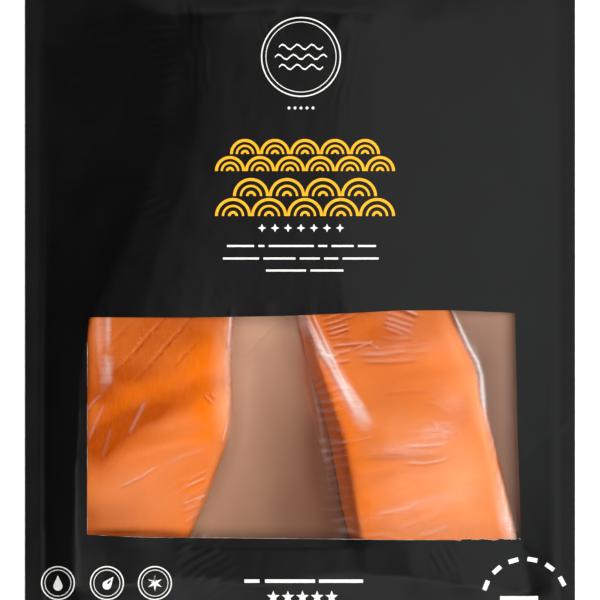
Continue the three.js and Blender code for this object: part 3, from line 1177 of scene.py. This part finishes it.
for line, (length, crests) in enumerate(((44, 3), (52, 3.5), (44, 3))):
    white.append(wave(301, 47 + 10 * line, length, 1.6, crests, 2.6))
print(len(white), "white shapes so far")

# %% [markdown]
# Below it are a row of dots, a row of diamonds and three lines of rules, and near the
# bottom edge three bars over five stars. A line of rules is its height, its start, and
# the lengths of its rules.


# %% White ink: rows and rules
def copied(piece, across, down):
    twin = bpy.data.objects.new(piece.name, piece.data.copy())
    bpy.context.scene.collection.objects.link(twin)
    twin.rotation_euler = piece.rotation_euler
    x, y = spot(across, down)
    twin.location = (x, y, INK_HEIGHT)
    return twin


def in_row(piece, across, down, pitch, each_side):
    places = [place for place in range(-each_side, each_side + 1) if place]
    return [piece] + [copied(piece, across + pitch * place, down) for place in places]


white += in_row(spiked(301, 108, 1.5, 6, 0.95), 301, 108, 6, 2)
white += in_row(spiked(301, 228, 4.2, 4, 0.42), 301, 228, 13, 3)

RULES = [
    (246, 227, (27, 6, 45, 9, 22, 18)),
    (258.5, 223, (36, 32, 20, 14, 36)),
    (270.5, 266, (40, 33)),
]
RULE_GAP = 4.4
for down, start, lengths in RULES:
    for length in lengths:
        white.append(bar(start + length / 2, down, length, 2.0))
        start += length + RULE_GAP

white += in_row(spiked(302.5, 597, 6.6, 5, 0.42), 302.5, 597, 14.6, 2)
for across, length in ((252, 15), (290, 50), (341, 44)):
    white.append(bar(across, 581, length, 3.4))
print(len(white), "white shapes so far")

# %% [markdown]
# The three round marks share one pair of rings. They hold a drop, a leaf, which is a
# turned drop, and a star with six thin points. An arc of bars stands at the lower right.

# %% White ink: the round marks and the arc
MARKS = (58, 107, 155)
MARK_DOWN = 583

for radius, width in ((17, 1.2), (13.4, 0.7)):
    rim = ring(MARKS[0], MARK_DOWN, radius, width)
    white += [rim, *(copied(rim, across, MARK_DOWN) for across in MARKS[1:])]


def drop(across, down, radius, tip):
    piece = spiked(across, down, radius, 12, 1)
    points = points_of(piece)
    rise = np.clip(points[:, 1] / (radius * PIXEL), 0, 1)
    points[:, 1] += rise**2 * tip * PIXEL
    points[:, 0] *= 1 - 0.75 * rise**2
    move_points(piece, points)
    return piece


white.append(drop(MARKS[0], 586, 4.6, 6))
leaf = drop(MARKS[1], 585, 4.4, 6)
leaf.rotation_euler = (0, 0, math.radians(-38))
white.append(leaf)
white.append(spiked(MARKS[2], MARK_DOWN, 8, 6, 0.34))

ARC_RADIUS = 42
for place in range(6):
    angle = math.radians(158 - 26 * place)
    across = 525 + ARC_RADIUS * math.cos(angle)
    down = 601 - ARC_RADIUS * math.sin(angle)
    white.append(bar(across, down, 10, 4.4, angle - math.pi / 2))
white.append(bar(519, 598, 38, 4))
print(len(white), "white shapes")

# %% [markdown]
# A fish scale is three half rings in one another. Full rings are joined, and a bisect
# clears their lower halves. Each ring has its share of the scale's radius and its width.
# The scale is copied along a band, in two rows that are half a scale apart.

# %% Gold ink: two bands of fish scales
RINGS = [(1.0, 2.9), (0.62, 2.2), (0.28, 2.6)]
SCALES_MIDDLE = 305
gold = []


def scale_mark(across, down, radius):
    piece = joined([ring(across, down, radius * share, width, 60) for share, width in RINGS])
    begin_edit(piece)
    x, y = spot(across, down)
    bpy.ops.mesh.bisect(
        plane_co=(x, y + 0.02 * MM, INK_HEIGHT), plane_no=(0, 1, 0), clear_inner=True
    )
    end_edit()
    return piece


for base, radius, count in ((171, 15, 6), (216, 18, 5)):
    mark = scale_mark(SCALES_MIDDLE, base, radius)
    first = SCALES_MIDDLE - radius * (count - 1)
    for place in range(count):
        gold.append(copied(mark, first + 2 * radius * place, base))
    for place in range(count - 1):
        gold.append(copied(mark, first + radius + 2 * radius * place, base - radius - 2))
    bpy.data.objects.remove(mark)
print(len(gold), "gold scales")

# %% [markdown]
# Seen from above, a shape has to stay where it was drawn, so its points are first moved
# in under the camera. Shrinkwrap then drops them straight down on to the film, and
# Solidify gives the ink its thickness.

# %% The ink dropped on to the film
INK_GAP = 0.07 * MM
INK_THICKNESS = 0.03 * MM


def inked(shapes, name):
    piece = joined(shapes)
    piece.name = piece.data.name = name
    bpy.ops.object.transform_apply(location=True, rotation=True, scale=True)
    points = points_of(piece)
    points[:, 0], points[:, 1] = under_camera(points[:, 0], points[:, 1])
    move_points(piece, points)
    modify(
        piece,
        "SHRINKWRAP",
        target=printed_film,
        wrap_method="PROJECT",
        use_project_z=True,
        use_negative_direction=True,
        use_positive_direction=False,
        offset=INK_GAP,
    )
    modify(piece, "SOLIDIFY", thickness=INK_THICKNESS, offset=0)
    told(piece)
    return piece


white_print = inked(white, "white_ink")
gold_print = inked(gold, "gold_ink")

# %% [markdown]
# A thin pale line shows at the window's left and lower edges. It is a painted glint of
# the clear film's edge, a narrow strip with the white ink's finish just under the print.

# %% The painted glint at the window's edges
LINE = 0.1 * MM
HIDDEN = 0.6 * MM
LINE_DEPTH = 0.13 * MM
glint_unevenness = unevenness(71, 30, 2)


# a strip of painted glint along an edge of the window, of uneven width
def glint_strip(name, start, end, inward, count):
    share = np.linspace(0, 1, count)
    edges = []
    for step in (-HIDDEN, LINE):
        x = start[0] + (end[0] - start[0]) * share
        y = start[1] + (end[1] - start[1]) * share
        out = step * np.clip(0.55 + 0.7 * glint_unevenness(x, y), 0.02, 1) if step > 0 else step
        x, y = window_bow(x + inward[0] * out, y + inward[1] * out)
        edges.append(np.stack([x, y, film_height(x, y)[0] - LINE_DEPTH], -1))
    piece = flat_grid(name, count - 1, 1)
    column, row = column_and_row(piece, count - 1, 1)
    move_points(piece, np.array(edges)[row, column])
    return piece


corner = (WINDOW_LEFT, WINDOW_BOTTOM)
left_line = glint_strip("window_edge_glint", (WINDOW_LEFT, WINDOW_TOP), corner, (1, 0), 200)
lower_line = glint_strip("lower_line", corner, (WINDOW_RIGHT, WINDOW_BOTTOM), (0, 1), 380)
window_edge_glint = joined([left_line, lower_line])
modify(window_edge_glint, "SOLIDIFY", thickness=INK_THICKNESS, offset=0)
begin_edit(window_edge_glint)
bpy.ops.mesh.normals_make_consistent(inside=False)
end_edit()
told(window_edge_glint)

# %% [markdown]
# ## Materials
# A finish could be a picture wrapped round each piece, but that would bring its own light
# with it. So every finish is made of nodes that read Object coordinates or the maps
# painted above. `put` adds one node, sets its plain values and links what is given.


# %% Node helpers
def linear(red, green, blue):
    def channel(value):
        value /= 255
        return value / 12.92 if value <= 0.04045 else ((value + 0.055) / 1.055) ** 2.4

    return channel(red), channel(green), channel(blue), 1


def put(tree, kind, values=None, links=None, **options):
    node = tree.nodes.new("ShaderNode" + kind)
    for option, value in options.items():
        setattr(node, option, value)
    for socket, value in (values or {}).items():
        node.inputs[socket].default_value = value
    for socket, source in (links or {}).items():
        tree.links.new(source, node.inputs[socket])
    return node


def feed(tree, node, sockets):
    for socket, value in sockets.items():
        if isinstance(value, (tuple, int, float)):
            node.inputs[socket].default_value = value
        else:
            tree.links.new(value, node.inputs[socket])


def new_material(name, **plain):
    material = bpy.data.materials.new(name)
    material.use_nodes = True
    tree = material.node_tree
    shader = tree.nodes["Principled BSDF"]
    for socket, value in plain.items():
        shader.inputs[socket.replace("_", " ")].default_value = value
    return material, tree, shader


print("mid grey is", round(linear(128, 128, 128)[0], 3), "in linear light")

# %% [markdown]
# Most nodes are of a few kinds: arithmetic, blends of two colours, a range turned into
# another range, noise, a stretch of the coordinates, a painted map, and a bump.


# %% The nodes that are used most
def maths(tree, operation, first, second=0.5, third=0.0, clamp=False):
    node = put(tree, "Math", operation=operation, use_clamp=clamp)
    feed(tree, node, {0: first, 1: second, 2: third})
    return node.outputs[0]


def times(tree, first, second, clamp=False):
    return maths(tree, "MULTIPLY", first, second, clamp=clamp)


def blended(tree, share, first, second):
    node = put(tree, "Mix", data_type="RGBA", blend_type="MIX")
    feed(tree, node, {0: share, 6: first, 7: second})
    return node.outputs[2]


def ranged(tree, value, low, high, out_low=0.0, out_high=1.0):
    limits = {"From Min": low, "From Max": high, "To Min": out_low, "To Max": out_high}
    return put(tree, "MapRange", limits, {"Value": value}).outputs[0]


def noise(tree, where, scale, detail, roughness=0.5, distortion=0.0):
    values = {"Scale": scale, "Detail": detail, "Roughness": roughness, "Distortion": distortion}
    return put(tree, "TexNoise", values, {"Vector": where}).outputs["Fac"]


def stretched(tree, where, scale, turn):
    values = {"Scale": scale, "Rotation": (0, 0, turn)}
    return put(tree, "Mapping", values, {"Vector": where}).outputs[0]


def mapped(tree, name):
    return put(tree, "Attribute", attribute_name=name).outputs["Fac"]


def object_coordinates(tree):
    return put(tree, "TexCoord").outputs["Object"]


def add_bump(tree, shader, height, strength, distance):
    bump = put(tree, "Bump", {"Strength": strength, "Distance": distance}, {"Height": height})
    tree.links.new(bump.outputs[0], shader.inputs["Normal"])


print("node helpers ready")

# %% [markdown]
# ### Crinkle, shared by the films
# Both parts of the front film have the same fine crinkle, too small to model. It is a
# node group, so the two finishes can't drift apart.

# %% The crinkle group
crinkle = bpy.data.node_groups.new("film crinkle", "ShaderNodeTree")
crinkle.interface.new_socket("Vector", in_out="INPUT", socket_type="NodeSocketVector")
crinkle.interface.new_socket("Coarse", in_out="INPUT", socket_type="NodeSocketFloat")
crinkle.interface.new_socket("Height", in_out="OUTPUT", socket_type="NodeSocketFloat")
crinkle.interface.new_socket("Cloud", in_out="OUTPUT", socket_type="NodeSocketFloat")
group_in = crinkle.nodes.new("NodeGroupInput")
group_out = crinkle.nodes.new("NodeGroupOutput")
broad = noise(crinkle, group_in.outputs["Vector"], 60, 3)
fine = noise(crinkle, group_in.outputs["Vector"], 700, 4, 0.6, 0.8)
ridged = maths(crinkle, "ABSOLUTE", maths(crinkle, "SUBTRACT", fine, 0.5))
height = maths(crinkle, "MULTIPLY_ADD", broad, group_in.outputs["Coarse"], ridged)
crinkle.links.new(height, group_out.inputs["Height"])
crinkle.links.new(ranged(crinkle, broad, 0.35, 0.7), group_out.inputs["Cloud"])
print("crinkle group:", len(crinkle.nodes), "nodes")


def crinkled(tree, coarse):
    node = tree.nodes.new("ShaderNodeGroup")
    node.node_tree = crinkle
    tree.links.new(object_coordinates(tree), node.inputs["Vector"])
    node.inputs["Coarse"].default_value = coarse
    return node


# %% [markdown]
# ### Salmon flesh
# Wet flesh lets light in, so it has some subsurface scattering, redder than it is blue.
# Its colour is blended from four along the painted maps, and soft clouds of noise keep
# the maps' borders from showing; some of those maps are painted light and shade. Pale
# lines of fat follow the flake map, with a thin darker line beside each, which is painted
# shade in the gap where two flakes part, and very fine fibres run across the flakes.
# Where the flakes part there are also pale specks. The steep cut sides are browner and
# darker, the dark partly painted shade, and the shade map darkens all with painted shade.

# %% Salmon flesh
ORANGE = linear(216, 118, 54)
DEEP = linear(168, 68, 0)
VIVID = linear(236, 116, 0)
PALE = linear(246, 160, 108)
SIDE_BROWN_AND_SHADE = linear(204, 82, 44)
SHADE = linear(110, 40, 4)
SPECK = linear(255, 190, 130)
FAT = linear(253, 168, 112)
GAP_SHADE = linear(160, 52, 4)

flesh, tree, shader = new_material(
    "salmon flesh",
    Roughness=0.5,
    IOR=1.34,
    Specular_IOR_Level=0.05,
    Subsurface_Weight=0.35,
    Subsurface_Scale=0.003,
    Subsurface_Radius=(1.0, 0.4, 0.15),
)
where = object_coordinates(tree)
clouds = noise(tree, where, 55, 3)
grain = noise(tree, where, 420, 3)
fibres = noise(tree, stretched(tree, where, (1500, 260, 600), 0.5), 1, 2)
unrest = ranged(tree, clouds, 0.3, 0.7, -0.22, 0.22)

colour = ORANGE
# these tones are partly painted light and shade
for name, tone in (("vivid_and_lit", VIVID), ("pale_and_lit", PALE), ("deep_and_shade", DEEP)):
    share = times(tree, maths(tree, "ADD", mapped(tree, name), unrest), 1.0, clamp=True)
    colour = blended(tree, share, colour, tone)
colour = blended(tree, ranged(tree, fibres, 0.4, 0.75, 0, 0.05), colour, FAT)

bent = maths(tree, "MULTIPLY_ADD", grain, 0.16, mapped(tree, "flake"))
part = maths(tree, "FRACT", bent)
fat_line = times(tree, ranged(tree, part, 0.02, 0.08), ranged(tree, part, 0.2, 0.1))
# the darker gap line: painted shade in the groove where two flakes part
gap_shade_line = times(tree, ranged(tree, part, 0.80, 0.95), ranged(tree, part, 1.0, 0.975))
presence = times(tree, ranged(tree, grain, 0.36, 0.56, 0.35, 1), mapped(tree, "parted"))
for line, strength, tone in ((fat_line, 0.22, FAT), (gap_shade_line, 0.8, GAP_SHADE)):
    share = times(tree, line, times(tree, presence, strength))
    colour = blended(tree, share, colour, tone)

specks = ranged(tree, noise(tree, where, 1600, 1), 0.64, 0.74, 0, 0.4)
colour = blended(tree, times(tree, specks, mapped(tree, "parted")), colour, SPECK)
# steep sides: browner flesh, and darker with painted shade
colour = blended(tree, times(tree, mapped(tree, "side"), 0.6), colour, SIDE_BROWN_AND_SHADE)
colour = blended(tree, mapped(tree, "shade"), colour, SHADE)
tree.links.new(colour, shader.inputs["Base Color"])

relief = maths(tree, "MULTIPLY_ADD", fibres, 0.15, grain)
relief = maths(tree, "SUBTRACT", relief, times(tree, gap_shade_line, 0.6))
add_bump(tree, shader, relief, 0.16, 0.0004)
tree.links.new(ranged(tree, clouds, 0.3, 0.7, 0.44, 0.58), shader.inputs["Roughness"])
print("flesh:", len(tree.nodes), "nodes")

# %% [markdown]
# ### Clear film
# A film this thin hardly bends the light, so it is a mix of Transparent and a bright
# gloss rather than glass. How much gloss depends on the angle, as on any clear film.
# Folds and the streaked patches of painted glare are painted white, a painted highlight:
# they have more of the gloss, and it scatters light as white there. Elsewhere the gloss
# is metallic and mirrors the lamps.
# The map of painted shade beside the creases tints what is seen through the film darker.
# The film's inner faces add nothing, or the gloss would double.

# %% Clear film
GLOSS_AND_GLARE_WHITE = linear(255, 250, 246)
CREASE_SHADE_TINT = linear(232, 206, 184)
NO_TINT = (1, 1, 1, 1)

clear_film, tree, shader = new_material("clear film", Roughness=0.14, Base_Color=GLOSS_AND_GLARE_WHITE)
facing = put(tree, "LayerWeight", {"Blend": 0.5}).outputs["Facing"]
grazing = maths(tree, "POWER", facing, 4.0)
fold_map = mapped(tree, "fold")
crumple = crinkled(tree, 0.6)
streaks = stretched(tree, object_coordinates(tree), (90, 900, 300), 0.1)
streaks = ranged(tree, noise(tree, streaks, 1, 3, 0.6), 0.35, 0.7, 0.45, 1.0)
painted_glare = times(tree, mapped(tree, "painted_glare"), streaks)
# folds are painted white here: a painted highlight
fold_glare = times(tree, maths(tree, "POWER", fold_map, 1.5), 0.42)
gloss = maths(tree, "MULTIPLY_ADD", grazing, 0.4, 0.003)
gloss = maths(tree, "ADD", gloss, fold_glare)
gloss = maths(tree, "ADD", gloss, times(tree, painted_glare, 0.5))
# where the film is painted white, a painted highlight, it is not metallic
glare_white_share = maths(tree, "ADD", times(tree, fold_map, 2.2), times(tree, painted_glare, 6.0))
glare_white_share = times(tree, glare_white_share, 1.0, clamp=True)
tree.links.new(maths(tree, "SUBTRACT", 1.0, glare_white_share), shader.inputs["Metallic"])
inner_side = put(tree, "NewGeometry").outputs["Backfacing"]
gloss = times(tree, gloss, maths(tree, "SUBTRACT", 1.0, inner_side), clamp=True)
add_bump(tree, shader, crumple.outputs["Height"], 0.16, 0.0005)
# painted shade: darker through the film beside the creases
dimmed = blended(tree, mapped(tree, "crease_shade"), NO_TINT, CREASE_SHADE_TINT)
through = put(tree, "BsdfTransparent", {}, {"Color": dimmed})
mixed = put(tree, "MixShader", {}, {0: gloss, 1: through.outputs[0], 2: shader.outputs[0]})
tree.links.new(mixed.outputs[0], tree.nodes["Material Output"].inputs["Surface"])
print("clear film:", len(tree.nodes), "nodes")

# %% [markdown]
# ### Printed film
# Black ink under a satin film. The satin is what shows the form: it spreads the light of
# the lamps into a slow grey sheen. Its roughness wanders a little, and the fine crinkle
# breaks up the sheen.

# %% Printed film
printed_black, tree, shader = new_material(
    "printed black", Roughness=0.42, IOR=1.48, Base_Color=linear(5, 5, 5)
)
crumple = crinkled(tree, 0.5)
cloud = crumple.outputs["Cloud"]
tree.links.new(ranged(tree, cloud, 0, 1, 0.39, 0.46), shader.inputs["Roughness"])
black = blended(tree, cloud, linear(4, 4, 4), linear(6, 6, 6))
tree.links.new(black, shader.inputs["Base Color"])
add_bump(tree, shader, crumple.outputs["Height"], 0.12, 0.0004)
print("printed black:", len(tree.nodes), "nodes")

# %% [markdown]
# ### Inks and the back film
# The inks are matt paint with a trace of speckle. The inside of the back film is a tan
# satin with soft clouds in it, the tan partly a painted reflection of the portions' warm
# light, and its painted tones of light and shade over them.


# %% Inks and the back film
def ink(name, colour, speck, roughness):
    material, tree, shader = new_material(name, Roughness=roughness, Base_Color=colour)
    speckle = noise(tree, object_coordinates(tree), 900, 2)
    share = ranged(tree, speckle, 0.45, 0.75, 0, 0.5)
    tree.links.new(blended(tree, share, colour, speck), shader.inputs["Base Color"])
    return material


white_paint = ink("white ink", linear(248, 248, 245), linear(222, 222, 218), 0.5)
gold_paint = ink("gold ink", linear(255, 186, 30), linear(246, 160, 20), 0.42)

# the colours of the painted light and shade on the back film
TANS = {
    "violet_shade": linear(124, 95, 84),
    "deep_and_shade": linear(98, 58, 38),
    "warm": linear(170, 84, 48),
    "pale_and_lit": linear(222, 180, 150),
}
# the tan is partly a painted reflection of the portions' warm light
tan_and_reflection, tree, shader = new_material("tan film", Roughness=0.45, Base_Color=linear(186, 146, 118))
clouds = noise(tree, object_coordinates(tree), 26, 4)
share = ranged(tree, clouds, 0.3, 0.7)
colour = blended(tree, share, linear(156, 116, 92), linear(168, 128, 104))
for name, tone in TANS.items():
    colour = blended(tree, mapped(tree, name), colour, tone)
tree.links.new(colour, shader.inputs["Base Color"])
add_bump(tree, shader, clouds, 0.2, 0.0006)
print("inks and tan film ready")

# %% [markdown]
# ## The pieces dressed
# Each piece gets its finish. The back film has two, black outside and tan inside, and its
# faces are sorted by which way they look.


# %% Materials on the pieces
def dress(piece, *materials):
    piece.data.materials.clear()
    for material in materials:
        piece.data.materials.append(material)


dress(left_portion, flesh)
dress(right_portion, flesh)
dress(window_film, clear_film)
dress(printed_film, printed_black)
dress(white_print, white_paint)
dress(gold_print, gold_paint)
dress(window_edge_glint, white_paint)
dress(back_film, printed_black, tan_and_reflection)
looks_up = triples(back_film.data.polygons, "normal")[:, 2] > 0.5
back_film.data.polygons.foreach_set("material_index", looks_up.astype(np.int32))
print("tan faces on the back film:", looks_up.sum())

# %% [markdown]
# ## Bodies and frame solids
# Food has no joints, so every piece rides on the one body. Each new piece stands for the
# frame's solid of the same thing.

# %% Bodies and frame solids
for piece, slot in (
    (left_portion, "flesh"),
    (right_portion, "flesh"),
    (window_film, "clear_film"),
    (printed_film, "printed_film"),
    (white_print, "printed_film"),
    (gold_print, "printed_film"),
    (window_edge_glint, "printed_film"),
    (back_film, "back_film"),
):
    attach(piece, "root")
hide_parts("salmon_portion_left")
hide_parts("salmon_portion_right")
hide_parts("window_film")
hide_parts("front_film")
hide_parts("back_film")
print("all pieces ride on root")

# %% [markdown]
# ## Floor, light and camera
# The floor is plain white and glows a little, as the photograph's empty background does.
# Two big soft lamps light what is matt: the key from the right, and a weaker fill from
# the left, so the right portion's left side is in shade. Five more are seen in gloss
# alone. They draw the grey sheen on the black film, lighter on the right, and the thin
# bright lines along the folds.

# %% Floor
FLOOR_DEPTH = 0.3 * MM
FLOOR_GLOW = 0.25
bpy.ops.mesh.primitive_plane_add(size=4, location=(0, 0, -FLOOR_DEPTH))
floor = bpy.context.object
floor.name = "floor"
white_floor, tree, shader = new_material(
    "white floor",
    Roughness=0.9,
    Base_Color=(0.95, 0.95, 0.95, 1),
    Specular_IOR_Level=0.0,
    Emission_Color=(1, 1, 1, 1),
    Emission_Strength=FLOOR_GLOW,
)
dress(floor, white_floor)
floor.visible_glossy = False
print("floor", round(FLOOR_DEPTH / MM, 1), "mm under the pack")


# %% Lamps
def lamp(name, place, aim, wide, tall, watts, matt=True, gloss=True, colour=(1, 1, 1)):
    light = bpy.data.lights.new(name, "AREA")
    light.shape = "RECTANGLE"
    light.size, light.size_y = wide, tall
    light.energy = watts
    light.color = colour
    holder = bpy.data.objects.new(name, light)
    bpy.context.scene.collection.objects.link(holder)
    holder.location = place
    holder.rotation_euler = (Vector(aim) - Vector(place)).to_track_quat("-Z", "Y").to_euler()
    holder.visible_diffuse = matt
    holder.visible_glossy = gloss


lamp("key", (0.5, -0.1, 1.28), (0, 0, 0), 0.8, 0.8, 19.5, gloss=False, colour=(1, 0.985, 0.96))
lamp("fill", (-0.5, -0.1, 1.3), (0, 0, 0), 0.9, 0.9, 8.6, gloss=False)
lamp("sheen", (0.46, 0, 0.42), (0, 0, 0.05), 1.3, 0.6, 1.9, matt=False, colour=(0.95, 0.98, 1))
lamp("overhead", (0.24, -0.12, 1.2), (0.1, -0.12, 0), 1.7, 0.35, 1.7, matt=False)
lamp("near end", (0.15, -0.75, 0.3), (0, -0.1, 0), 1.0, 0.3, 1.35, matt=False)
lamp("near left", (-0.55, -0.4, 0.45), (-0.05, -0.08, 0), 0.5, 0.3, 0.9, matt=False)
lamp("far end", (0.15, 0.75, 0.3), (0, 0.1, 0), 1.0, 0.3, 0.8, matt=False)
STUDIO_GREY = (0.04, 0.04, 0.04, 1)
world = bpy.data.worlds.new("studio")
bpy.context.scene.world = world
world.use_nodes = True
world.node_tree.nodes["Background"].inputs["Color"].default_value = STUDIO_GREY
bpy.context.scene.view_settings.view_transform = "Standard"

# %% [markdown]
# The camera hangs over the pack's middle and looks straight down. Its lens is so long
# that 600 pixels span 223.6 mm at the height of the table.

# %% Camera
SEEN_WIDTH = PHOTO_WIDTH * PIXEL
SENSOR_WIDTH = 36
camera_data = bpy.data.cameras.new("camera")
camera_data.sensor_width = SENSOR_WIDTH
camera_data.lens = SENSOR_WIDTH * CAMERA_HEIGHT / SEEN_WIDTH
camera = bpy.data.objects.new("camera", camera_data)
bpy.context.scene.collection.objects.link(camera)
camera.location = (0, 0, CAMERA_HEIGHT)
bpy.context.scene.camera = camera
print("lens", round(camera_data.lens), "mm")
